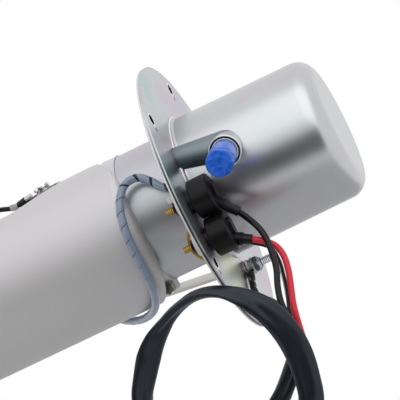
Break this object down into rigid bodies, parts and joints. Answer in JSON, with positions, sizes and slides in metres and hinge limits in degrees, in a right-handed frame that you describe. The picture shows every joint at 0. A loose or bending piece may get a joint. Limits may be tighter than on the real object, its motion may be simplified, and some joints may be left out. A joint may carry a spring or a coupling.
{
  "type": "in-tank fuel pump",
  "caption": "In-tank electric fuel pump: round mounting flange, domed cup, hose outlet with cap, rubber-booted terminals, wiring loom and long canister in an open-topped tube.",
  "frame": {"origin": "centre of the flange's underside, which lies on the tank", "axes": "+Z out of the tank along the pump's axis, +X towards the ground stud, -Y towards the two terminals and the outlet"},
  "size_m": [0.2667, 0.2119, 0.3477],
  "materials": {
    "zinc_plate": "bright zinc plating with a faint yellow and pink film",
    "plated_cup": "drawn steel, zinc plated, satin",
    "satin_tube": "satin sheet, faint rolling marks",
    "canister": "smooth drawn sheet",
    "steel_hardware": "plated steel",
    "tin": "tinned terminals",
    "brass": "turned brass",
    "nylon": "natural nylon",
    "black_rubber": "moulded rubber",
    "black_plastic": "moulded plastic",
    "cap_blue": "soft glossy plastic",
    "pad": "thin fibre sheet",
    "wire_red_pvc": "wire insulation",
    "wire_black_pvc": "wire insulation",
    "wire_white_pvc": "wire insulation",
    "lead_ochre": "wire insulation",
    "loom_pvc": "soft sleeve, creased",
    "spiral_wrap": "clear spiral wrap over a black cable",
    "motor_steel": "plated steel can",
    "magnet": "ferrite",
    "lamination": "stacked sheet with windings",
    "carbon": "pressed carbon",
    "moulding": "glass-filled plastic",
    "pump_casting": "die-cast and faced",
    "bronze": "sintered bronze",
    "filter_paper": "pleated paper",
    "strainer_mesh": "fine mesh"
  },
  "bodies": {
    "pump": {"mounting_flange": "zinc_plate", "motor_cup": "plated_cup", "outlet_gallery": "plated_cup", "outlet_boss": "plated_cup", "outer_tube": "satin_tube", "tube_base": "satin_tube", "pump_canister": "canister", "ground_stud": "steel_hardware", "ground_washers": "steel_hardware", "ground_spring_washer": "steel_hardware", "ground_nut": "steel_hardware", "clamp_band": "steel_hardware", "clamp_screw": "steel_hardware", "support_strap": "steel_hardware", "earth_screw": "steel_hardware", "earth_washers": "steel_hardware", "check_spring": "steel_hardware", "ground_ring_terminal": "tin", "earth_ring_terminal": "tin", "terminal_studs": "brass", "outlet_nipple": "brass", "terminal_nuts": "brass", "terminal_washers": "nylon", "outlet_seal_washer": "nylon", "terminal_boot_a": "black_rubber", "terminal_boot_b": "black_rubber", "outlet_o_ring": "black_rubber", "cable_grommet": "black_rubber", "earth_wire_grommet": "black_rubber", "cable_entry": "black_rubber", "terminal_insulators": "black_plastic", "boot_sleeves": "black_plastic", "harness_plug": "black_plastic", "cable_tie": "black_plastic", "earth_pad": "pad", "wire_red": "wire_red_pvc", "wire_black": "wire_black_pvc", "wire_thin": "wire_black_pvc", "wire_ground": "wire_black_pvc", "earth_wire": "wire_black_pvc", "wire_white": "wire_white_pvc", "terminal_lead": "lead_ochre", "loom_sleeve": "loom_pvc", "wrapped_cable": "spiral_wrap", "motor_case": "motor_steel", "field_magnets": "magnet", "brushes": "carbon", "brush_holder": "moulding", "outlet_tower": "moulding", "pump_upper_housing": "pump_casting", "pump_lower_housing": "pump_casting", "bearings": "bronze", "filter_element": "filter_paper", "inlet_strainer": "strainer_mesh"},
    "rotor": {"motor_shaft": "steel_hardware", "armature": "lamination", "commutator": "brass", "impeller": "moulding"},
    "cap": {"outlet_cap": "cap_blue"},
    "poppet": {"check_poppet": "moulding"}
  },
  "joints": [
    {"name": "cap_pull", "type": "slide", "parent": "pump", "child": "cap", "axis": [0.1633, -0.9866, 0], "range_m": [0, 0.045]},
    {"name": "rotor_spin", "type": "hinge", "parent": "pump", "child": "rotor", "pos_m": [-0.0048, 0, -0.12], "axis": [0, 0, 1], "continuous": true},
    {"name": "check_valve_lift", "type": "slide", "parent": "pump", "child": "poppet", "axis": [0, 0, 1], "range_m": [0, 0.003], "stiffness_N_per_m": 120, "springref_m": -0.003, "deforming": ["check_spring"]}
  ]
}
